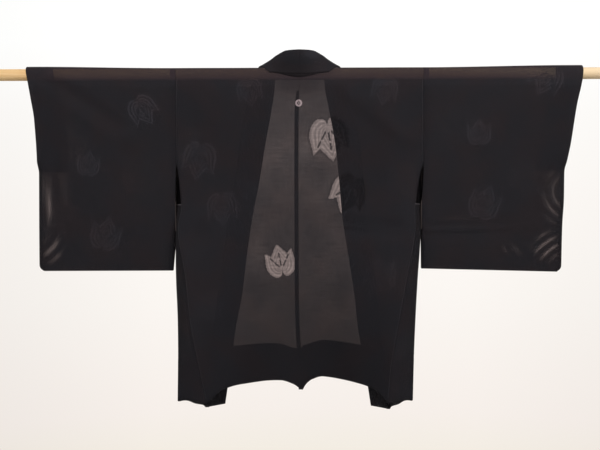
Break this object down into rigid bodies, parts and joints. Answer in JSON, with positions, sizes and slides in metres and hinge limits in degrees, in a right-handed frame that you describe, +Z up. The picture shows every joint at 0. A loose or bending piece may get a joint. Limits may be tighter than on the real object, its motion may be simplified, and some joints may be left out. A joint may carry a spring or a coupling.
{
  "type": "haori jacket on a rod",
  "caption": "Sheer black silk gauze haori jacket hung over a round wooden rod, seen from its back, with its fronts open and a leaf pattern woven in the cloth.",
  "frame": {"origin": "on the rod's axis, at the middle of the jacket, where the rod is held", "axes": "+X along the rod, +Z up, the jacket's back faces -Y and its open fronts face +Y"},
  "size_m": [1.49, 0.1896, 0.8629],
  "materials": {
    "gauze": "sheer black silk gauze with a leaf pattern woven in",
    "collar_gauze": "the same gauze, doubled",
    "rod_wood": "planed pale wood, unvarnished"
  },
  "bodies": {
    "root": {"body_left": "gauze", "body_right": "gauze", "sleeve_left": "gauze", "sleeve_right": "gauze", "gusset_left": "gauze", "gusset_right": "gauze", "collar_left": "collar_gauze", "collar_right": "collar_gauze", "rod": "rod_wood"}
  },
  "joints": []
}
